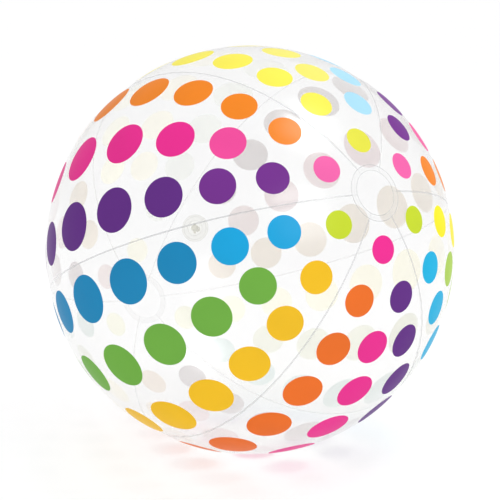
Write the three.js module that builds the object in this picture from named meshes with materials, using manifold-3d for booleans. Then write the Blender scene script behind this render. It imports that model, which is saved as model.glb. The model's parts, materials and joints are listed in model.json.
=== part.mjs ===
// Inflatable beach ball: six clear film gores lapped and welded edge to edge, a round patch over the
// gore tips at each end, and a push-in air valve with a tethered plug on one gore.
// Millimetres, +Z up. The ball stands on its own small contact patch, centred on the origin.
import * as THREE from 'three';
import Module from 'manifold-3d';

// ---- driving dimensions -------------------------------------------------------------------------
const R = 340;                // outside radius of the inflated ball
const FILM = 0.3;             // film gauge
const GAP = 0.3;              // clearance kept between pieces that touch
const GORES = 6;
const PITCH = 2 * Math.PI / GORES;
const PATCH_R = 44;           // radius of the flat the ball's weight presses into its underside
const CREASE = 2.8;           // how far a seam is drawn in below the round surface, at the equator
const CREASE_POWER = 8;       // the higher, the narrower the crease

// how the ball lies: direction of the plain end, and the turn of the gores about that axis
const END_AZIMUTH = -51.3;    // degrees about +Z from +X
const END_ELEVATION = 24.6;   // degrees above the floor
const SPIN = 55.8;            // degrees from "straight up the ball" to the middle of gore 1

// seams
const LAP = 3.2;              // width one gore runs under the next
const LAP_STEP = 1.1;         // length of the joggle that takes it under
const LAP_CLEAR = 0.5;        // from the joggle to the edge of the covering gore
const TIP = 6.0;              // colatitude at which the gores stop, degrees

// end patches
const END_DISC = 46;          // radius of the round end patch
// valve
const VALVE_GORE = 4;         // counted from 0
const VALVE_COLAT = 152.2;    // degrees from the plain end
const VALVE_SIDE = 7.1;       // degrees of arc to the side of the gore's middle
const FLANGE_R = 25, FLANGE_T = 0.8, FLANGE_HOLE = 12.6, FILM_HOLE = 13.4;
const STEM_R = 5.2, BORE_R = 4.0, LIP_R = 6.4, STEM_TOP = 2.6, STEM_LENGTH = 20;
const PLUG_TOP_R = 3.7, PLUG_TIP_R = 2.6, PLUG_LENGTH = 5, CAP_R = 6.2, CAP_T = 1.5;
const HINGE_X = 8.2, HINGE_Y = 2.0;     // the strap's living hinge, from the valve's axis and film
const STRAP_W = 5;
const FLAP_R = 4.6, FLAP_T = 0.6;

// ---- axes ---------------------------------------------------------------------------------------
const rad = THREE.MathUtils.degToRad;
const vec = (x, y, z) => new THREE.Vector3(x, y, z);
const UP = vec(0, 0, 1);
const end = vec(Math.cos(rad(END_AZIMUTH)) * Math.cos(rad(END_ELEVATION)),
  Math.sin(rad(END_AZIMUTH)) * Math.cos(rad(END_ELEVATION)), Math.sin(rad(END_ELEVATION)));
const meridian = UP.clone().addScaledVector(end, -UP.dot(end)).normalize().applyAxisAngle(end, rad(SPIN));
const across = end.clone().cross(meridian);
const SINK = R - Math.sqrt(R * R - PATCH_R * PATCH_R);
const centre = vec(0, 0, R - SINK);

// unit vector at a colatitude from the plain end and a longitude round it, both in radians
function direction(theta, phi) {
  return end.clone().multiplyScalar(Math.cos(theta))
    .addScaledVector(meridian, Math.sin(theta) * Math.cos(phi))
    .addScaledVector(across, Math.sin(theta) * Math.sin(phi));
}

// a point on the ball: depth is measured inwards from the outside of the film, and where the ball
// meets the floor every layer is pressed flat at its own depth
function skin(theta, phi, depth) {
  const offset = phi / PITCH - Math.round(phi / PITCH);
  const crease = CREASE * Math.sin(theta) * Math.pow(Math.abs(offset) * 2, CREASE_POWER);
  const p = direction(theta, phi).multiplyScalar(R - crease - depth).add(centre);
  p.z = Math.max(p.z, depth);
  return p;
}

// ---- geometry helpers ---------------------------------------------------------------------------
function indexed(points, triangles) {
  const g = new THREE.BufferGeometry();
  g.setAttribute('position', new THREE.Float32BufferAttribute(points.flatMap((p) => [p.x, p.y, p.z]), 3));
  g.setIndex(triangles.flat());
  g.computeVertexNormals();
  return g;
}

// a sheet with thickness: rows x columns of points outside and inside, closed round its four edges
function sheet(rows, columns, outside, inside) {
  const points = [], triangles = [];
  for (const layer of [outside, inside])
    for (let i = 0; i < rows; i++) for (let j = 0; j < columns; j++) points.push(layer(i, j));
  const at = (layer, i, j) => (layer * rows + i) * columns + j;
  const quad = (a, b, c, d) => triangles.push([a, b, c], [a, c, d]);
  for (let i = 0; i + 1 < rows; i++) for (let j = 0; j + 1 < columns; j++) {
    quad(at(0, i, j), at(0, i + 1, j), at(0, i + 1, j + 1), at(0, i, j + 1));
    quad(at(1, i, j), at(1, i, j + 1), at(1, i + 1, j + 1), at(1, i + 1, j));
  }
  for (let i = 0; i + 1 < rows; i++) {
    const last = columns - 1;
    quad(at(0, i, 0), at(1, i, 0), at(1, i + 1, 0), at(0, i + 1, 0));
    quad(at(0, i, last), at(0, i + 1, last), at(1, i + 1, last), at(1, i, last));
  }
  for (let j = 0; j + 1 < columns; j++) {
    const last = rows - 1;
    quad(at(0, 0, j), at(0, 0, j + 1), at(1, 0, j + 1), at(1, 0, j));
    quad(at(0, last, j), at(1, last, j), at(1, last, j + 1), at(0, last, j + 1));
  }
  return indexed(points, triangles);
}

// a closed outline in (radius, height) turned round the Y axis; points on the axis are shared
function turned(profile, steps = 28) {
  const next = (i) => profile[(i + 1) % profile.length];
  const area = profile.reduce((sum, [r, y], i) => sum + r * next(i)[1] - next(i)[0] * y, 0);
  const outline = area > 0 ? profile : [...profile].reverse();
  const points = [], triangles = [], ring = [];
  outline.forEach(([r, y]) => {
    ring.push(points.length);
    const n = r === 0 ? 1 : steps;
    for (let k = 0; k < n; k++) {
      const a = 2 * Math.PI * k / steps;
      points.push(vec(r * Math.cos(a), y, r * Math.sin(a)));
    }
  });
  const at = (i, k) => ring[i] + (outline[i][0] === 0 ? 0 : k % steps);
  outline.forEach((_, i) => {
    const n = (i + 1) % outline.length;
    if (outline[i][0] === 0 && outline[n][0] === 0) return;
    for (let k = 0; k < steps; k++) {
      const [a, b, c, d] = [at(i, k), at(n, k), at(n, k + 1), at(i, k + 1)];
      if (outline[n][0] !== 0) triangles.push([a, b, c]);
      if (outline[i][0] !== 0) triangles.push(outline[n][0] === 0 ? [a, b, d] : [a, c, d]);
    }
  });
  return indexed(points, triangles);
}

const wasm = await Module();
wasm.setup();
function toSolid(geometry) {
  return new wasm.Manifold(new wasm.Mesh({ numProp: 3,
    vertProperties: new Float32Array(geometry.attributes.position.array),
    triVerts: new Uint32Array(geometry.index.array) }));
}
function fromSolid(solid) {
  const mesh = solid.getMesh(), g = new THREE.BufferGeometry(), xyz = [];
  for (let i = 0; i < mesh.vertProperties.length; i += mesh.numProp)
    xyz.push(...mesh.vertProperties.slice(i, i + 3));
  g.setAttribute('position', new THREE.Float32BufferAttribute(xyz, 3));
  g.setIndex([...mesh.triVerts]);
  g.computeVertexNormals();
  return g;
}

// ---- materials ----------------------------------------------------------------------------------
const vinyl = (name, color, roughness) => Object.assign(
  new THREE.MeshStandardMaterial({ color, roughness, metalness: 0 }), { name });
const group = new THREE.Group();
group.name = 'beach_ball';
function piece(name, geometry, color, roughness) {
  const mesh = new THREE.Mesh(geometry, vinyl(name, color, roughness));
  mesh.name = name;
  group.add(mesh);
  return mesh;
}

// ---- gores --------------------------------------------------------------------------------------
// The flat underside needs its own rows and columns of points, so that it is flat right to its rim.
const flatAngle = Math.asin(PATCH_R / R) * 0.97;
const floorTheta = Math.acos(-end.z);
const floorPhi = Math.atan2(-across.z, -meridian.z);
const FLAT_STEPS = [-1, -0.67, 0, 0.67, 1];

// base values, with those too near a flat one left out and the flat ones put in
function refine(base, flat, clearance) {
  const kept = base.filter((v) => flat.every((f) => Math.abs(v - f) > clearance));
  return [...kept, ...flat].sort((p, q) => p - q);
}
const evenRows = [...Array(25).keys()].map((i) => rad(TIP + (180 - 2 * TIP) * i / 24));
const rows = refine(evenRows, FLAT_STEPS.map((k) => floorTheta + k * flatAngle), rad(3));

// stations across one gore: the plain edge, the lap's width, the spread between, then the joggle
// and the strip that runs under the next gore
const evenSpread = [-23.5, -17, -9, 0, 9, 18, 24].map(rad);
function spreadOf(gore) {
  const offset = floorPhi - gore * PITCH, turns = Math.round(offset / (2 * Math.PI));
  const local = offset - turns * 2 * Math.PI;
  if (Math.abs(local) > PITCH / 2) return evenSpread;
  return refine(evenSpread, FLAT_STEPS.map((k) => local + k * flatAngle / Math.sin(floorTheta)), rad(2.5));
}
function gore(index) {
  const spread = spreadOf(index), under = FILM + GAP;
  const stations = (theta) => {
    const half = PITCH / 2, mm = 1 / (R * Math.sin(theta));
    return [[-half, 0], [-half + LAP * mm, 0], ...spread.map((offset) => [offset, 0]),
      [half - (LAP_CLEAR + LAP_STEP) * mm, 0], [half - LAP_CLEAR * mm, under],
      [half + (LAP - 0.2) * mm, under]];
  };
  const layer = (below) => (i, j) => {
    const [offset, depth] = stations(rows[i])[j];
    return skin(rows[i], index * PITCH + offset, depth + below);
  };
  return sheet(rows.length, spread.length + 5, layer(0), layer(FILM));
}

// ---- valve axes: Y out of the ball, X up along the film, origin on the film ------------------------
const row = direction(rad(VALVE_COLAT), PITCH * VALVE_GORE);
const sideways = direction(Math.PI / 2, PITCH * VALVE_GORE + Math.PI / 2);
const axis = row.clone().multiplyScalar(Math.cos(rad(VALVE_SIDE)))
  .addScaledVector(sideways, Math.sin(rad(VALVE_SIDE))).normalize();
const upward = UP.clone().addScaledVector(axis, -UP.dot(axis)).normalize();
const valveFrame = new THREE.Matrix4().makeBasis(upward, axis, upward.clone().cross(axis))
  .setPosition(centre.clone().addScaledVector(axis, R));
const placed = (geometry) => geometry.applyMatrix4(valveFrame);
const sag = (r) => Math.sqrt(R * R - r * r) - R;

for (let g = 0; g < GORES; g++) {
  let geometry = gore(g);
  if (g === VALVE_GORE) {
    const punch = placed(turned([[0, -6], [FILM_HOLE, -6], [FILM_HOLE, 6], [0, 6]], 36));
    geometry = fromSolid(toSolid(geometry).subtract(toSolid(punch)));
  }
  piece(`panel_${g + 1}`, geometry, '#e6eef2', 0.08);
}

// ---- end patches: a disc of film over the gore tips, its rim welded down ---------------------------
function endPatch(nearEnd) {
  const steps = 36, rings = [0, 0.35, 0.7, 1].map((f) => f * Math.asin(END_DISC / R));
  const points = [], triangles = [];
  const spot = (a, k, depth) => {
    const theta = nearEnd ? a : Math.PI - a, phi = 2 * Math.PI * k / steps * (nearEnd ? 1 : -1);
    return direction(theta, phi).multiplyScalar(R - depth).add(centre);
  };
  for (const depth of [-GAP - FILM, -GAP]) {
    points.push(spot(0, 0, depth));
    for (const a of rings.slice(1)) for (let k = 0; k < steps; k++) points.push(spot(a, k, depth));
  }
  const layerSize = 1 + (rings.length - 1) * steps;
  const at = (layer, i, k) => layer * layerSize + (i === 0 ? 0 : 1 + (i - 1) * steps + (k % steps));
  for (let k = 0; k < steps; k++) {
    for (let i = 0; i + 1 < rings.length; i++) for (const layer of [0, 1]) {
      const q = [at(layer, i, k), at(layer, i + 1, k), at(layer, i + 1, k + 1), at(layer, i, k + 1)];
      if (layer === 1) q.reverse();
      const triples = [[q[0], q[1], q[2]], [q[0], q[2], q[3]]];
      triples.forEach((t) => { if (new Set(t).size === 3) triangles.push(t); });
    }
    const last = rings.length - 1;
    const [a, b] = [at(0, last, k), at(0, last, k + 1)], [c, d] = [at(1, last, k), at(1, last, k + 1)];
    triangles.push([a, c, d], [a, d, b]);
  }
  return indexed(points, triangles);
}
piece('end_patch_plain', endPatch(true), '#e6eef2', 0.08);
piece('end_patch_valve_end', endPatch(false), '#e6eef2', 0.08);

// ---- valve: weld flange, folded web, sliding stem, check flap, plug with strap and tab -------------
const under = (r) => sag(r) + GAP, over = (r) => sag(r) + GAP + FLANGE_T;
piece('valve_flange', placed(turned([
  [FLANGE_HOLE, under(FLANGE_HOLE)], [FLANGE_HOLE, over(FLANGE_HOLE) + 0.3],
  [FLANGE_HOLE + 1.2, over(FLANGE_HOLE) + 0.3], [FLANGE_HOLE + 1.6, over(FLANGE_HOLE + 1.6)],
  [19, over(19)], [FLANGE_R - 0.8, over(FLANGE_R - 0.8)], [FLANGE_R, over(FLANGE_R) - 0.5],
  [FLANGE_R, under(FLANGE_R)], [19, under(19)]], 36)), '#dfe8ee', 0.15);

// the web is a thin funnel: welded inside the flange's rim, it runs down to the middle of the stem
const WEB_FOOT = -9;
const stemFoot = STEM_TOP - STEM_LENGTH;
piece('valve_web', placed(turned([[12.3, 0.9], [11.5, 0.9], [11.1, 0.1], [STEM_R + 1, WEB_FOOT + 1.2],
  [STEM_R + GAP, WEB_FOOT + 0.8], [STEM_R + GAP, WEB_FOOT], [STEM_R + 1.1, WEB_FOOT + 0.2],
  [11.8, -0.8], [12.3, -0.1]])), '#dfe8ee', 0.15);

let stem = toSolid(turned([[BORE_R, stemFoot], [BORE_R, STEM_TOP], [LIP_R, STEM_TOP],
  [LIP_R, STEM_TOP - 1.6], [STEM_R, STEM_TOP - 2.2], [STEM_R, stemFoot]]));
const earEnd = HINGE_X - 0.7;
const ear = new THREE.BoxGeometry(earEnd - 5.6, 1.5, STRAP_W);
ear.translate((earEnd + 5.6) / 2, STEM_TOP - 0.95, 0);
function welded(geometry) {
  const seen = new Map(), points = [], remap = [];
  const p = geometry.attributes.position;
  for (let i = 0; i < p.count; i++) {
    const key = [p.getX(i), p.getY(i), p.getZ(i)].map((v) => v.toFixed(4)).join(' ');
    if (!seen.has(key)) { seen.set(key, points.length); points.push(vec(p.getX(i), p.getY(i), p.getZ(i))); }
    remap.push(seen.get(key));
  }
  const index = geometry.index ? [...geometry.index.array] : [...Array(p.count).keys()];
  const triangles = [];
  for (let i = 0; i < index.length; i += 3) {
    const t = [0, 1, 2].map((k) => remap[index[i + k]]);
    if (new Set(t).size === 3) triangles.push(t);
  }
  return indexed(points, triangles);
}
stem = stem.add(toSolid(welded(ear)).subtract(toSolid(turned([[0, -9], [5.8, -9], [5.8, 9], [0, 9]]))));
piece('valve_stem', placed(fromSolid(stem)), '#d3e4f0', 0.2);

const capBase = STEM_TOP + GAP;
piece('valve_plug', placed(turned([[0, STEM_TOP - PLUG_LENGTH], [PLUG_TIP_R, STEM_TOP - PLUG_LENGTH],
  [PLUG_TOP_R, STEM_TOP], [PLUG_TOP_R, capBase], [CAP_R, capBase], [CAP_R, capBase + CAP_T - 0.4],
  [CAP_R - 0.4, capBase + CAP_T], [0, capBase + CAP_T]])), '#d3e4f0', 0.2);

// a flat shape drawn in the valve's X-Y plane and given the strap's width along Z
function strip(outline, width) {
  const shape = new THREE.Shape(outline.map(([x, y]) => new THREE.Vector2(x, y)));
  const g = new THREE.ExtrudeGeometry(shape, { depth: width, bevelEnabled: false });
  g.translate(0, 0, -width / 2);
  return welded(g);
}
const strapTop = capBase + 1.2;
piece('plug_strap', placed(strip([[CAP_R + GAP, capBase + 0.3], [CAP_R + GAP, strapTop],
  [HINGE_X + 0.3, strapTop], [HINGE_X + 0.9, strapTop - 0.6], [HINGE_X + 0.9, HINGE_Y],
  [HINGE_X, HINGE_Y], [HINGE_X, capBase + 0.3]], STRAP_W)), '#d3e4f0', 0.2);
piece('plug_pull_tab', placed(strip([[-CAP_R - GAP, capBase + 0.3], [-CAP_R - GAP - 3.6, capBase + 0.5],
  [-CAP_R - GAP - 3.6, capBase + 1.4], [-CAP_R - GAP, capBase + 1.3]], 4)), '#d3e4f0', 0.2);

const flapTop = stemFoot - GAP;
piece('valve_check_flap', placed(turned([[0, flapTop - FLAP_T], [FLAP_R, flapTop - FLAP_T],
  [FLAP_R, flapTop], [0, flapTop]])), '#dfe8ee', 0.25);

export default group;
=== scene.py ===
# %% [markdown]
# # An inflatable beach ball of clear vinyl with printed dots
# The ball is six gores of clear film, welded edge to edge, with a round patch over each end and an air
# valve on one gore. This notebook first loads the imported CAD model, which fixes where everything is, and
# then builds a finer version of each piece around it: the film, the weld lines, the ink dots and the valve.
# Everything is in metres, and +Z is up.

# %% Load the frame
import json
import math
import bmesh
import bpy
from mathutils import Matrix, Vector


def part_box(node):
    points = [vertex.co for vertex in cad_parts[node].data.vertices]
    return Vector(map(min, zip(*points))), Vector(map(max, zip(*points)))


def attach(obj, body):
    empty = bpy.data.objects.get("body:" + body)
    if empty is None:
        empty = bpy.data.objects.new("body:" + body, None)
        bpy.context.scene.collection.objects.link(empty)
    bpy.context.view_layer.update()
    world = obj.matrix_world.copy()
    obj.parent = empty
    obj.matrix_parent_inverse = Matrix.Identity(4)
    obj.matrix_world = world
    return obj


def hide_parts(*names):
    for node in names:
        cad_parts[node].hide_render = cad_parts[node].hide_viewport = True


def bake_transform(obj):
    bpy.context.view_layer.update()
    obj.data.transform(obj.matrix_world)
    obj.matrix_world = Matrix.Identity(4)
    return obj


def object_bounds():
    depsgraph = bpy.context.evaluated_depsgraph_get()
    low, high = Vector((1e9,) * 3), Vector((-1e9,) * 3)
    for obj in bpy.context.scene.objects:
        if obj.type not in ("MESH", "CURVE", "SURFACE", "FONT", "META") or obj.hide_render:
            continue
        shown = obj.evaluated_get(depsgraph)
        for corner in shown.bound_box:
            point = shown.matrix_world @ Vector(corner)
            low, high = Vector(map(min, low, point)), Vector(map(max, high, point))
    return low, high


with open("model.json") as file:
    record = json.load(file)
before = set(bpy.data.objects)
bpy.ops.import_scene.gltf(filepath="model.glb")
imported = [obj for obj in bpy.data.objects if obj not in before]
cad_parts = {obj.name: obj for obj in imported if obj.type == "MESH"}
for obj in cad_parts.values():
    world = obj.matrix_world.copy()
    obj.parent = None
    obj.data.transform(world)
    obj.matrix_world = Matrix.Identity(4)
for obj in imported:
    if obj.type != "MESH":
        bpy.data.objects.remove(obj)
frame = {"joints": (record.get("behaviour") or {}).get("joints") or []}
cad_low, cad_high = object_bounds()
joints = {j["name"]: j for j in frame["joints"]}
MM = 0.001
print("CAD box in mm:", [round(v * 1000, 1) for v in cad_high - cad_low])

# %% [markdown]
# ## Where the ball is
# The two end patches sit exactly opposite each other. The middle between their boxes is the ball's centre,
# and the line through them is its axis. The valve joint gives the direction of the valve, and since the
# valve sits a known way to the side of its gore's middle, it also tells how far the gores are turned.

# %% Centre, radius, axis and valve
def middle(node):
    low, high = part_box(node)
    return (low + high) / 2

plain_end, valve_end = middle("end_patch_plain"), middle("end_patch_valve_end")
centre = (plain_end + valve_end) / 2
pole = (plain_end - valve_end).normalized()
RADIUS = cad_high.z - centre.z
valve_axis = Vector(joints["valve_pull"]["axis"]).normalized()

GORES, VALVE_GORE, VALVE_SIDE = 6, 4, math.radians(7.1)
PITCH = 2 * math.pi / GORES
across = (valve_axis - pole * valve_axis.dot(pole)).normalized()
colatitude = pole.angle(valve_axis)
sideways = math.asin(math.sin(VALVE_SIDE) / math.sin(colatitude))
meridian = across.copy()
meridian.rotate(Matrix.Rotation(-(VALVE_GORE * PITCH + sideways), 3, pole))
across = pole.cross(meridian)
print(f"radius {RADIUS * 1000:.1f} mm, valve {math.degrees(colatitude):.1f} deg from the plain end")

# %% [markdown]
# ## The shape of the skin
# A point on the ball is given by a direction from the centre and a height above the film. Three things make
# it different from a plain sphere. Each weld pulls the surface in a little. A weld that is pulled in has a
# shorter way to go than it was cut for, so it puckers into small waves about 26 mm long that die out within
# a few centimetres. And the ball's own weight presses its underside flat against the floor.

# %% Skin functions
CREASE, CREASE_POWER = 2.8 * MM, 8
PUCKER, PUCKER_POWER, PUCKER_LENGTH = 0.35 * MM, 12, 26 * MM

def direction(theta, phi):
    return (pole * math.cos(theta) + (meridian * math.cos(phi) + across * math.sin(phi)) * math.sin(theta))

def skin(towards, height=0.0):
    towards = towards.normalized()
    theta = pole.angle(towards)
    turn = math.atan2(towards.dot(across), towards.dot(meridian)) / PITCH
    from_middle = abs(turn - round(turn)) * 2
    crease = CREASE * math.sin(theta) * from_middle ** CREASE_POWER
    seam = math.floor(turn) % GORES
    wave = math.sin(2 * math.pi * theta * RADIUS / PUCKER_LENGTH + 2.2 * math.sin(5 * theta + 1.7 * seam))
    pucker = PUCKER * (1 + wave) * math.sin(theta) * from_middle ** PUCKER_POWER
    point = centre + towards * (RADIUS - crease - pucker + height)
    point.z = max(point.z, -min(height, 0.0))
    return point

print("skin reaches down to z =", round(skin(Vector((0, 0, -1))).z, 5))

# %% [markdown]
# ## Colours and nodes
# Colour values written as hex are stored in sRGB, while Blender's nodes expect linear light, so every hex
# colour goes through one function. A second small function adds a shader node with its settings and links,
# and a third lays a clear gloss over any shader, because film, moulded vinyl and ink all have one.

# %% Colour and node helpers
def linear(hex_colour):
    channels = [int(hex_colour[i:i + 2], 16) / 255 for i in (1, 3, 5)]
    return [c / 12.92 if c <= 0.04045 else ((c + 0.055) / 1.055) ** 2.4 for c in channels] + [1.0]

def add(tree, kind, settings=None, **sockets):
    made = tree.nodes.new(kind)
    for name, value in (settings or {}).items():
        setattr(made, name, value)
    for name, value in sockets.items():
        socket = made.inputs[int(name[1:])] if name[0] == "_" else made.inputs[name.replace("_", " ")]
        if isinstance(value, bpy.types.NodeSocket):
            tree.links.new(value, socket)
        else:
            socket.default_value = value
    return made

def material(name):
    made = bpy.data.materials.new(name)
    made.use_nodes = True
    made.node_tree.nodes.clear()
    return made, made.node_tree

def output(tree, shader):
    add(tree, "ShaderNodeOutputMaterial", Surface=shader)

def glossed(tree, under, roughness, normal, head_on, edge_on):
    """Lays a clear reflection over a shader, weak head-on and stronger the more the surface turns away."""
    turned = add(tree, "ShaderNodeLayerWeight", Blend=0.5, Normal=normal).outputs["Facing"]
    fifth = add(tree, "ShaderNodeMath", {"operation": "POWER"}, _0=turned, _1=5.0).outputs[0]
    share = add(tree, "ShaderNodeMapRange", Value=fifth, To_Min=head_on, To_Max=edge_on).outputs[0]
    gloss = add(tree, "ShaderNodeBsdfAnisotropic", Color=(1, 1, 1, 1), Roughness=roughness, Normal=normal)
    return add(tree, "ShaderNodeMixShader", Fac=share, _1=under, _2=gloss.outputs[0]).outputs[0]

# %% [markdown]
# ## Clear vinyl
# Plasticised vinyl film is nearly invisible head-on and turns mirror-like at a glancing angle. Schlick's
# rule gives that share from the angle alone: 4.4% head-on for an index of 1.53, rising with the fifth
# power, here up to 85%. It mixes a see-through shader with a reflection. A little matt white or grey stands
# for the haze of film that has been folded and handled, and a slow noise a few centimetres across makes the
# haze uneven. A real frosted weld is hazy from both sides. Here a one-sided material drops the haze where
# the weld is met from behind: that is a choice of looks, which keeps the far seams faint through the ball.

# %% Film, weld and valve materials
def vinyl(name, tint, haze, haze_colour, roughness, unevenness, bump_mm=0.0, bump_scale=900,
          one_sided=False):
    made, tree = material(name)
    place = add(tree, "ShaderNodeTexCoord").outputs["Object"]
    patches = add(tree, "ShaderNodeTexNoise", Vector=place, Scale=9.0, Detail=3.0, Roughness=0.6)
    amount = add(tree, "ShaderNodeMapRange", Value=patches.outputs["Fac"], From_Min=0.35, From_Max=0.7,
                 To_Min=max(haze - unevenness, 0.0), To_Max=haze + unevenness).outputs["Result"]
    if one_sided:
        behind = add(tree, "ShaderNodeNewGeometry").outputs["Backfacing"]
        front = add(tree, "ShaderNodeMath", {"operation": "SUBTRACT"}, _0=1.0, _1=behind).outputs[0]
        amount = add(tree, "ShaderNodeMath", {"operation": "MULTIPLY"}, _0=amount, _1=front).outputs[0]
    relief = add(tree, "ShaderNodeTexNoise", Vector=place, Scale=bump_scale, Detail=2.0)
    bump = add(tree, "ShaderNodeBump", Height=relief.outputs["Fac"], Strength=1.0, Distance=bump_mm * MM)
    clear = add(tree, "ShaderNodeBsdfTransparent", Color=linear(tint))
    body = add(tree, "ShaderNodeBsdfPrincipled", Base_Color=linear(haze_colour), Roughness=roughness,
               IOR=1.53, Normal=bump.outputs["Normal"])
    hazy = add(tree, "ShaderNodeMixShader", Fac=amount, _1=clear.outputs[0], _2=body.outputs[0])
    output(tree, glossed(tree, hazy.outputs[0], roughness, bump.outputs["Normal"], 0.044, 0.85))
    return made

film = vinyl("clear plasticised PVC film", "#fefefe", 0.035, "#f3f4f4", 0.2, 0.015)
weld = vinyl("high-frequency weld, frosted PVC", "#fbfbfb", 0.32, "#a4a8aa", 0.3, 0.05, 0.03,
             one_sided=True)
moulded = vinyl("moulded soft PVC, milky clear", "#fbfbf9", 0.045, "#efeee8", 0.18, 0.02, 0.02, 400)
moulded_edge = vinyl("moulded soft PVC, frosted ridge", "#f4f4f1", 0.14, "#aeada7", 0.3, 0.03, 0.02, 400)
plug_vinyl = vinyl("moulded soft PVC plug, milky", "#f6f5f0", 0.16, "#e6e4da", 0.2, 0.04, 0.02, 400)

# %% [markdown]
# ## Screen-print ink
# Vinyl ink is laid down in two passes: a white one that hides what is behind it, and the colour. Seen from
# outside a dot is its full colour under a gloss. Seen through the ball from behind it is a pale disc with
# only a breath of its colour. The backs carry a painted glow, a little light of their own that stands for
# the daylight coming through the ink, more through a light ink than through a dark one. The fine noise is
# the mesh of the print screen, about 0.4 mm a cell.

# %% Ink materials
# The lighter copies of blue, purple and pink, the lightest pink and the pale inks of the top gore are
# painted highlights standing for light, not inks of their own.
INKS = {"orange": "#ef8418", "deep orange": "#ee6f1b", "pink": "#ec2690", "pink painted lighter": "#ee489a",
        "purple": "#602584", "pink painted lightest": "#ee62a8", "lime": "#c6d92a", "blue painted lighter": "#02a6df",
        "purple painted lighter": "#72298c", "blue": "#0288bd", "green": "#6fb03f", "yellow": "#f6c213",
        "cyan": "#06b4e2", "spring green": "#add24a", "lemon": "#fbee0e", "sky": "#a6d9f0",
        "green painted pale": "#efe66c", "yellow painted pale": "#f6ea52", "lime painted pale": "#e2e045"}
BACKING = "#f1f0ec"

def ink(name, hex_colour, gloss, glow):
    made, tree = material(name)
    place = add(tree, "ShaderNodeTexCoord").outputs["Object"]
    screen = add(tree, "ShaderNodeTexNoise", Vector=place, Scale=2500.0, Detail=1.0)
    cloud = add(tree, "ShaderNodeTexNoise", Vector=place, Scale=14.0, Detail=2.0)
    colour = linear(hex_colour)
    darker = [c * 0.86 for c in colour[:3]] + [1.0]
    shade = add(tree, "ShaderNodeMix", {"data_type": "RGBA"}, Factor=cloud.outputs["Fac"])
    for index, value in ((6, colour), (7, darker)):
        shade.inputs[index].default_value = value
    bump = add(tree, "ShaderNodeBump", Height=screen.outputs["Fac"], Strength=0.25, Distance=0.02 * MM)
    body = add(tree, "ShaderNodeBsdfPrincipled", Base_Color=shade.outputs[2], Roughness=0.6, IOR=1.5,
               Specular_IOR_Level=0.0, Emission_Color=colour, Emission_Strength=glow,
               Normal=bump.outputs["Normal"])
    output(tree, glossed(tree, body.outputs[0], 0.28, bump.outputs["Normal"], gloss, 12 * gloss))
    return made

def blended(a, b, share):
    pairs = [(int(a[i:i + 2], 16), int(b[i:i + 2], 16)) for i in (1, 3, 5)]
    return "#" + "".join(f"{round(p + (q - p) * share):02x}" for p, q in pairs)

def painted_glow(hex_colour):
    """Painted glow for a dot's back: the daylight through an ink, by how light its colour is."""
    red, green, blue, _ = linear(hex_colour)
    return 0.09 + 0.38 * (0.21 * red + 0.72 * green + 0.07 * blue)

ink_front = {name: ink(f"screen-print ink, {name}", value, 0.021, 0.0) for name, value in INKS.items()}
# The backs glow with painted light, standing for daylight coming through the ink.
ink_back = {name: ink(f"white backing under {name} ink", blended(BACKING, value, 0.055), 0.01, painted_glow(value))
            for name, value in INKS.items()}
print(len(INKS), "inks, each with its white backing")

# %% [markdown]
# ## From flat grid to finished object
# Most pieces start as a flat grid or a spun profile, and then every corner is carried to its place on the
# ball. `finish_piece` turns the bmesh into an object, gives it its materials, shades it smooth, hangs it on
# the body it rides on, if it has one, and hides the CAD nodes it stands for. Edges turning more than 40
# degrees stay sharp: on a film this thin, smoothing round the cut edge would tilt the normals and darken
# it.

# %% Building helpers
def finish_piece(name, bm, materials, body, replaces=()):
    mesh = bpy.data.meshes.new(name)
    bm.to_mesh(mesh)
    bm.free()
    for made in materials:
        mesh.materials.append(made)
    mesh.polygons.foreach_set("use_smooth", [True] * len(mesh.polygons))
    mesh.set_sharp_from_angle(angle=math.radians(40))
    piece = bpy.data.objects.new(name, mesh)
    bpy.context.scene.collection.objects.link(piece)
    if body:
        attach(piece, body)
    if replaces:
        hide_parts(*replaces)
    return piece

def looks_inwards(face):
    return face.normal.dot(face.calc_center_median() - centre) < 0

def face_outwards(bm):
    for face in bm.faces:
        if looks_inwards(face):
            face.normal_flip()
    bm.normal_update()

def thicken(bm, thickness):
    """Closes an open sheet whose faces look outwards by adding a second layer below it."""
    bmesh.ops.solidify(bm, geom=bm.faces[:], thickness=thickness)
    bmesh.ops.recalc_face_normals(bm, faces=bm.faces[:])

def grid(columns, rows, place):
    """A grid of columns x rows cells, carried to place(s, t) with s and t from 0 to 1."""
    bm = bmesh.new()
    bmesh.ops.create_grid(bm, x_segments=columns, y_segments=rows, size=0.5)
    for v in bm.verts:
        v.co = place(v.co.x + 0.5, v.co.y + 0.5)
    bm.normal_update()
    return bm

def spin_profile(bm, profile, steps, closed):
    """Spins a profile of (radius, height) points round Z and returns the new vertices."""
    before = set(bm.verts)
    points = [bm.verts.new((r, 0, h)) for r, h in profile]
    edges = [bm.edges.new(pair) for pair in zip(points, points[1:])]
    if closed:
        edges.append(bm.edges.new((points[-1], points[0])))
    bmesh.ops.spin(bm, geom=points + edges, cent=(0, 0, 0), axis=(0, 0, 1), dvec=(0, 0, 0),
                   angle=2 * math.pi, steps=steps, use_merge=True)
    made = [v for v in bm.verts if v not in before]
    bmesh.ops.remove_doubles(bm, verts=made, dist=1e-7)
    return [v for v in bm.verts if v.is_valid and v not in before]

def tangents(normal):
    first = normal.orthogonal().normalized()
    return first, normal.cross(first)

# %% [markdown]
# ## The six gores
# A gore runs from just inside one end patch to just inside the other. Its left edge lies on top, its right
# edge steps down by the thickness of the film and runs 3 mm under the next gore. The grid's columns crowd
# towards the edges, where the weld draws the surface in. The first nine tenths of the columns are the part
# on top, and the last few are the step and the lap.

# %% Film gores
FILM, LAP, TIP = 0.3 * MM, 3.2 * MM, math.radians(6.0)
TOP_SHARE, STEP_SHARE = 0.90, 0.93

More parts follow.
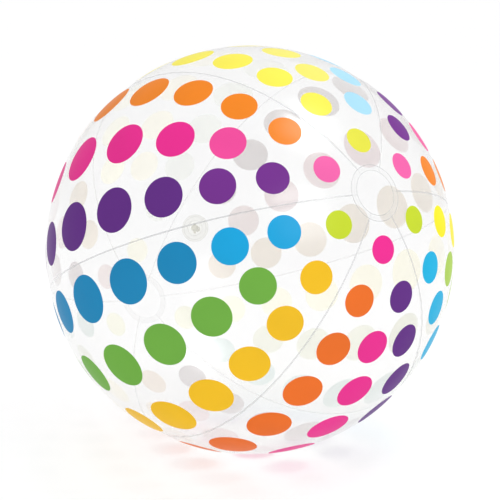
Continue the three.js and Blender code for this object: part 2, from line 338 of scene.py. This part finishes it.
def gore_point(index, s, t):
    theta = TIP + (math.pi - 2 * TIP) * t
    mm = 1 / (RADIUS * math.sin(theta))
    over = min(s / TOP_SHARE, 1)
    eased = 0.4 * (0.5 - 0.5 * math.cos(math.pi * over)) + 0.6 * over
    left, right = -PITCH / 2, PITCH / 2 - 1.4 * MM * mm
    offset, depth = left + (right - left) * eased, 0.0
    if s > STEP_SHARE:
        share = (s - STEP_SHARE) / (1 - STEP_SHARE)
        offset, depth = PITCH / 2 - 0.2 * MM * mm + LAP * mm * share, FILM + 0.05 * MM
    phi = index * PITCH + offset
    return skin(direction(theta, phi), -depth)

gores = []
for index in range(GORES):
    bm = grid(30, 144, lambda s, t: gore_point(index, s, t))
    face_outwards(bm)
    thicken(bm, FILM)
    gores.append(finish_piece(f"film_gore_{index + 1}", bm, [film], "envelope",
                              [f"panel_{index + 1}"]))
print("gores made, each", FILM * 1000, "mm thick")

# %% [markdown]
# ## The weld lines
# Where two gores lap, a heated bar fuses them into a band about 3 mm wide. The bar leaves the band a little
# frosted, with a fine bead of squeezed-out vinyl along both edges: that shows as a seam. The band's inner
# faces are given the plain film, again to keep the far seams faint.

# %% Seam welds
SEAM_END, SEAM_EDGE, SEAM_WIDTH, SEAM_THICK = math.radians(7.7), 0.2 * MM, 2.4 * MM, 0.08 * MM
BAND = [(0.0, 0.10), (0.10, 0.30), (0.22, 0.34), (0.36, 0.14),
        (0.64, 0.14), (0.78, 0.34), (0.90, 0.30), (1.0, 0.10)]

def seam_point(index, s, t):
    station = min(int(round(s * (len(BAND) - 1))), len(BAND) - 1)
    sideways_share, height = BAND[station]
    theta = SEAM_END + (math.pi - 2 * SEAM_END) * t
    offset = (SEAM_EDGE + SEAM_WIDTH * sideways_share) / (RADIUS * math.sin(theta))
    return skin(direction(theta, (index + 0.5) * PITCH + offset), height * MM)

for index in range(GORES):
    bm = grid(len(BAND) - 1, 150, lambda s, t: seam_point(index, s, t))
    face_outwards(bm)
    thicken(bm, SEAM_THICK)
    for face in bm.faces:
        face.material_index = int(looks_inwards(face))
    finish_piece(f"seam_weld_{index + 1}", bm, [weld, film], "envelope")
print(GORES, "seam welds")

# %% [markdown]
# ## Discs on a curved skin
# The dots and the end patches are both flat discs laid on the ball. A profile is spun flat first, with its
# radius measured along the skin, and then wrapped: the distance from the disc's middle becomes an angle.

# %% Wrap helper
def wrap(verts, middle_direction, lift):
    first, second = tangents(middle_direction)
    for v in verts:
        angle = math.hypot(v.co.x, v.co.y) / RADIUS
        turn = math.atan2(v.co.y, v.co.x)
        outward = first * math.cos(turn) + second * math.sin(turn)
        v.co = skin(middle_direction * math.cos(angle) + outward * math.sin(angle), v.co.z + lift)

# %% [markdown]
# ## End patches
# A round patch of film closes the hole that the gore tips leave at each end. Its cut edge and the inner
# edge of its ring-shaped weld each stand up as a fine line.

# %% End patches
PATCH, WELD_INNER, PATCH_LIFT = 46.0, 36.0, 0.55 * MM

def ring_line(radius, width, height):
    return [(radius - width / 2, 0), (radius - width / 4, height), (radius + width / 4, height),
            (radius + width / 2, 0)]

for name, towards in (("plain", pole), ("valve_end", -pole)):
    bm = bmesh.new()
    profile = [(0, 0), (8, 0), (16, 0), (24, 0), (31, 0), *ring_line(WELD_INNER, 1.1, 0.3),
               (40, -0.05), (43, -0.05), *ring_line(PATCH - 0.7, 1.4, 0.35)]
    verts = spin_profile(bm, [(r * MM, h * MM) for r, h in profile], 96, closed=False)
    for face in bm.faces:
        far = [math.hypot(v.co.x, v.co.y) / MM for v in face.verts]
        on_line = any(abs(sum(far) / len(far) - r) < 0.7 for r in (WELD_INNER, PATCH - 0.7))
        face.material_index = 1 if on_line else 0
    wrap(verts, towards, PATCH_LIFT)
    bm.normal_update()
    face_outwards(bm)
    thicken(bm, FILM)
    for face in bm.faces:
        if looks_inwards(face):
            face.material_index = 0
    finish_piece(f"end_disc_{name}", bm, [film, weld], "envelope", [f"end_patch_{name}"])
print("two end patches,", 2 * PATCH, "mm across")

# %% [markdown]
# ## The printed dots
# Each gore carries the same artwork: eleven rows of dots, one at each tip, then two, then three across. The
# rows are closer and the dots smaller towards the tips. Three gores are printed orange, pink and purple,
# and the three between them run from blue through green to yellow, the second a step lighter than the
# first. The third, the gore on top, is paler again in painted highlight: its inks are painted pale for the
# overhead light washing them out. Towards the tips blue, purple and pink are painted lighter, and so are
# the
# tips of two warm gores: a painted highlight for the brighter light near the pole. The one warm gore whose
# orange and tip are deeper is left as printed. One dot is left out to make room for the valve.

# %% Dots
ROW_DEGREES = [15, 28, 41.5, 56, 72, 90]
DOT_MM = [44, 51.5, 57, 64, 71.5, 78]
SPREAD = [0, 0.51, 0.62, 0.66, 0.665, 0.665]
WARM, DEEP = ["orange", "pink", "purple"], ["deep orange", "pink", "purple"]
COOL = ["blue", "green", "yellow"]
# The top gore's blue, green and yellow are painted pale: a painted highlight for the overhead light washing
# them out.
BRIGHT, PAINTED_PALE_INKS = ["cyan", "spring green", "lemon"], ["sky", "green painted pale", "yellow painted pale"]
GORE_INKS = [WARM, COOL, DEEP, BRIGHT, WARM, PAINTED_PALE_INKS]
# Near the tips blue, purple and pink are painted lighter, a painted highlight for the brighter light near
# the pole.
TIP_PAINTED_LIGHTER = {"blue": "blue painted lighter", "purple": "purple painted lighter", "pink": "pink painted lighter"}
# The tip dots of two warm gores are a pink painted lighter still, and the top gore's tip a lime painted
# pale: painted highlights.
TIP_INKS = ["pink painted lightest", "lime", "pink", "lime", "pink painted lightest", "lime painted pale"]

def dots_of(gore):
    colours, tip = GORE_INKS[gore], TIP_INKS[gore]
    for row in range(11):
        near = min(row, 10 - row)
        theta = math.radians(ROW_DEGREES[near] if row < 6 else 180 - ROW_DEGREES[near])
        columns = {0: [1], 1: [0, 2]}.get(near, [0, 1, 2])
        for column in columns:
            if (gore, row, column) == (VALVE_GORE, 9, 2):
                continue
            arc = (column - 1) * SPREAD[near] * PITCH / 2 * math.sin(theta)
            side = direction(math.pi / 2, gore * PITCH + math.pi / 2)
            towards = direction(theta, gore * PITCH) * math.cos(arc) + side * math.sin(arc)
            colour = tip if near == 0 else colours[column]
            # Painted highlight: near the tips the colour is swapped for a copy painted lighter.
            if near < 3 and colours is not DEEP:
                colour = TIP_PAINTED_LIGHTER.get(colour, colour)
            yield towards, DOT_MM[near] / 2, colour

INK, INK_LIFT = 0.07 * MM, 0.12 * MM
names, total = list(INKS), 0
for gore in range(GORES):
    bm = bmesh.new()
    for towards, radius, colour in dots_of(gore):
        before = set(bm.faces)
        profile = [(radius * share * MM, 0) for share in (0, 0.25, 0.5, 0.75, 0.94, 1)]
        wrap(spin_profile(bm, profile, 48, closed=False), towards, INK_LIFT)
        for face in set(bm.faces) - before:
            face.material_index = names.index(colour)
        total += 1
    bm.normal_update()
    face_outwards(bm)
    thicken(bm, INK)
    for face in bm.faces:
        if looks_inwards(face):
            face.material_index += len(names)
    inks = [*ink_front.values(), *ink_back.values()]
    finish_piece(f"printed_dots_{gore + 1}", bm, inks, "envelope")
print(total, "dots")

# %% [markdown]
# ## The valve
# The valve's pieces are all turned round one axis, so each is a closed profile, spun and then stood on the
# ball. Profiles are in millimetres: distance from the axis, then height above the film.

# %% Valve frame and hole
HOLE, CUT_DEPTH = 13.4, 5
valve_foot = centre + valve_axis * RADIUS
up = (Vector((0, 0, 1)) - valve_axis * valve_axis.z).normalized()
valve_frame = Matrix((up, valve_axis.cross(up), valve_axis)).transposed().to_4x4()
valve_frame.translation = valve_foot

def sag(r):
    return math.sqrt((RADIUS / MM) ** 2 - r * r) - RADIUS / MM

def spun(bm, profile, steps=64):
    verts = spin_profile(bm, [(r * MM, h * MM) for r, h in profile], steps, closed=True)
    bmesh.ops.transform(bm, matrix=valve_frame, verts=verts)

def stand(name, bm, made, body, replaced=(), extra=()):
    bmesh.ops.recalc_face_normals(bm, faces=bm.faces[:])
    return finish_piece(name, bm, [made, *extra], body, replaced)

cutter_mesh = bmesh.new()
spun(cutter_mesh, [(0, -CUT_DEPTH), (HOLE, -CUT_DEPTH), (HOLE, CUT_DEPTH), (0, CUT_DEPTH)])
bmesh.ops.recalc_face_normals(cutter_mesh, faces=cutter_mesh.faces[:])
data = bpy.data.meshes.new("valve_hole_cutter")
cutter_mesh.to_mesh(data)
cutter_mesh.free()
cutter = bpy.data.objects.new("valve_hole_cutter", data)
bpy.context.scene.collection.objects.link(cutter)
gore = gores[VALVE_GORE]
cut = gore.modifiers.new("valve hole", "BOOLEAN")
cut.operation, cut.object = "DIFFERENCE", cutter
bpy.context.view_layer.update()
cut_mesh = bpy.data.meshes.new_from_object(gore.evaluated_get(bpy.context.evaluated_depsgraph_get()))
gore.modifiers.clear()
gore.data = cut_mesh
bpy.data.objects.remove(cutter)
print("hole cut for the valve:", len(gore.data.polygons), "faces left")

# %% [markdown]
# The flange is welded to the film, and its ridges are frosted. The web is a thin funnel from the flange to
# the middle of the stem, which in the real valve turns inside out when the stem is pulled.

# %% Flange and web
flange = [(12.6, 0.05), (12.6, 1.3), (12.9, 1.6), (13.6, 1.6), (14.1, 1.3), (14.6, 0.9), (16.4, 0.85),
          (16.8, 1.05), (17.5, 1.05), (17.9, 0.85), (20.4, 0.85), (20.8, 1.05), (21.5, 1.05), (21.9, 0.85),
          (24.2, 0.8), (24.8, 0.6), (25.0, 0.3), (25.0, 0.05), (19.0, 0.05)]
bm = bmesh.new()
spun(bm, [(r, h + sag(r)) for r, h in flange], 96)
FROSTED_RINGS = (12.8, 14.1), (20.4, 21.9), (24.0, 26.0)
for face in bm.faces:
    out = valve_frame.inverted() @ face.calc_center_median()
    r = math.hypot(out.x, out.y) / MM
    face.material_index = int(any(inner < r < outer for inner, outer in FROSTED_RINGS))
stand("weld_flange", bm, moulded, "envelope", ["valve_flange"], [moulded_edge])

def along(a, b, count):
    return [(a[0] + (b[0] - a[0]) * k / count, a[1] + (b[1] - a[1]) * k / count) for k in range(count + 1)]

bm = bmesh.new()
spun(bm, [(12.55, 1.1), (12.0, 1.1), (11.5, 0.7), *along((11.1, 0.1), (6.4, -7.7), 12), (5.9, -8.3),
          (5.3, -8.4), (5.3, -9.2), (5.9, -9.1), *along((6.8, -8.2), (11.6, -0.6), 12), (12.0, -0.2),
          (12.55, -0.1)])
web = stand("folding_web", bm, moulded, None, ["valve_web"])
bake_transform(web)
print("flange and web made")

# %% [markdown]
# The stem is a short tube with a rounded lip. A small ear on its upper side carries the plug's strap.

# %% Stem, ear and check flap
STEM_TOP, STEM_FOOT = 2.6, -17.4

def block(bm, low, high, bevel):
    made = bmesh.ops.create_cube(bm, size=1)["verts"]
    size = [(b - a) * MM for a, b in zip(low, high)]
    mid = [(b + a) / 2 * MM for a, b in zip(low, high)]
    placed = valve_frame @ Matrix.Translation(mid) @ Matrix.Diagonal((*size, 1))
    bmesh.ops.transform(bm, matrix=placed, verts=made)
    edges = list({e for v in made for e in v.link_edges})
    bmesh.ops.bevel(bm, geom=edges, offset=bevel * MM, segments=3, profile=0.5, affect="EDGES", material=-1)

bm = bmesh.new()
spun(bm, [(4.0, STEM_FOOT), (4.0, 2.1), (4.4, STEM_TOP), (5.9, STEM_TOP), (6.3, 2.4), (6.4, 2.0),
          (6.4, 1.5), (6.1, 1.1), (5.3, 0.5), (5.2, -0.2), (5.2, -9.6), (5.0, -10.0), (5.0, -15.4),
          (5.3, -15.8), (5.3, -16.6), (4.8, STEM_FOOT)])
block(bm, (6.0, -2.5, 1.1), (7.5, 2.5, 2.3), 0.3)
stand("stem", bm, moulded, "stem", ["valve_stem"])

bm = bmesh.new()
spun(bm, [(0, -18.3), (4.1, -18.3), (4.5, -18.2), (4.6, -17.9), (4.3, -17.7), (3.6, -17.6), (0, -17.6)])
block(bm, (3.6, -1.8, -18.2), (4.9, 1.8, -17.7), 0.15)
stand("check_flap", bm, moulded, "flap", ["valve_check_flap"])
print("stem", round(STEM_TOP - STEM_FOOT, 1), "mm long, with its check flap")

# %% [markdown]
# The plug is a tapered post under a dished cap. Its strap leaves the ear, doubles back over itself and
# joins the cap. The pull tab has three ridges for wet fingers.

# %% Plug, strap and pull tab
bm = bmesh.new()
spun(bm, [(0, -2.4), (2.3, -2.4), (2.7, -2.0), (3.1, 0.2), (3.75, 0.9), (3.75, 1.4), (3.5, 1.8),
          (3.6, 2.75), (6.0, 2.75), (6.3, 3.0), (6.3, 4.0), (6.0, 4.35), (5.3, 4.4), (4.9, 4.1),
          (4.4, 3.95), (0, 3.95)])
stand("plug", bm, plug_vinyl, "plug", ["valve_plug"])

PATH = [(7.1, 1.75), (7.7, 1.75), (8.2, 1.85), (8.55, 2.15), (8.65, 2.6), (8.5, 3.05), (8.1, 3.35),
        (7.4, 3.5), (6.7, 3.55), (6.0, 3.55)]

def strap_point(s, t):
    position = t * (len(PATH) - 1)
    k = min(int(position), len(PATH) - 2)
    x, h = (PATH[k][i] + (PATH[k + 1][i] - PATH[k][i]) * (position - k) for i in (0, 1))
    width = 4.4 - 1.0 * math.sin(math.pi * t)
    return valve_frame @ Vector((x * MM, (s - 0.5) * width * MM, h * MM))

bm = grid(4, 30, strap_point)
bmesh.ops.solidify(bm, geom=bm.faces[:], thickness=0.7 * MM)
strap = stand("tether_strap", bm, plug_vinyl, None, ["plug_strap"])
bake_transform(strap)

bm = bmesh.new()
block(bm, (-10.2, -2.1, 3.3), (-6.0, 2.1, 4.1), 0.3)
for k in range(3):
    block(bm, (-9.6 + k, -1.7, 4.0), (-9.2 + k, 1.7, 4.35), 0.1)
stand("pull_tab", bm, plug_vinyl, "plug", ["plug_pull_tab"])
shown = [o for o in bpy.data.objects if o.type == "MESH" and not o.hide_render]
print("valve made:", len(shown), "pieces in all")

# %% [markdown]
# ## The floor
# The ball stands on a plain floor that runs far back. A floor that is white by its own colour would throw
# so much light up through the film that the ball fades away, so it is a mid grey that glows a little.

# %% Floor
bm = bmesh.new()
bmesh.ops.create_grid(bm, x_segments=1, y_segments=1, size=40)
floor_mesh = bpy.data.meshes.new("floor")
bm.to_mesh(floor_mesh)
bm.free()
floor = bpy.data.objects.new("floor", floor_mesh)
bpy.context.scene.collection.objects.link(floor)
floor.location.z = -0.3 * MM
paper, tree = material("white seamless paper")
surface = add(tree, "ShaderNodeBsdfPrincipled", Base_Color=linear("#a4a4a4"), Roughness=0.9, IOR=1.4,
              Emission_Color=(1, 1, 1, 1), Emission_Strength=0.66)
output(tree, surface.outputs[0])
floor_mesh.materials.append(paper)
print("floor made")

# %% [markdown]
# ## The lights
# One broad softbox hangs overhead, a little to the right, a weaker one fills from the front right, and an
# even white sky does the rest. A ray that crosses the ball passes many layers of film, so the limit on
# see-through surfaces is raised: past the limit a ray counts as black.

# %% Lights
def softbox(name, azimuth, elevation, distance, size, watts):
    light = bpy.data.lights.new(name, "AREA")
    light.shape, light.size, light.size_y, light.energy = "RECTANGLE", size[0], size[1], watts
    lamp = bpy.data.objects.new(name, light)
    bpy.context.scene.collection.objects.link(lamp)
    a, e = math.radians(azimuth), math.radians(elevation)
    towards = Vector((math.sin(a) * math.cos(e), -math.cos(a) * math.cos(e), math.sin(e)))
    lamp.location = centre + towards * distance
    lamp.rotation_euler = (-towards).to_track_quat("-Z", "Y").to_euler()

softbox("overhead_softbox", 76, 66, 2.6, (0.9, 0.8), 20)
softbox("front_fill", 30, 28, 3.6, (1.6, 1.6), 13)
world = bpy.data.worlds.new("even white studio")
world.use_nodes = True
world.node_tree.nodes["Background"].inputs["Color"].default_value = linear("#f8f8f9")
world.node_tree.nodes["Background"].inputs["Strength"].default_value = 0.89
bpy.context.scene.world = world
bpy.context.scene.view_settings.view_transform = "Standard"
bpy.context.scene.cycles.transparent_max_bounces = 48
print("two softboxes and the sky set")

# %% [markdown]
# ## The camera
# A long lens far back keeps the ball round, without the stretch that a near camera gives a sphere. It looks
# down a little, straight at the ball's centre.

# %% Camera
lens = bpy.data.cameras.new("camera")
lens.lens, lens.sensor_width = 139.0, 36.0
camera = bpy.data.objects.new("camera", lens)
bpy.context.scene.collection.objects.link(camera)
tilt = math.radians(12)
back = Vector((0, -math.cos(tilt), math.sin(tilt)))
camera.location = centre + back * RADIUS * 9.5
camera.rotation_euler = (-back).to_track_quat("-Z", "Y").to_euler()
bpy.context.scene.camera = camera
print(f"camera {(camera.location - centre).length:.2f} m from the ball's centre")
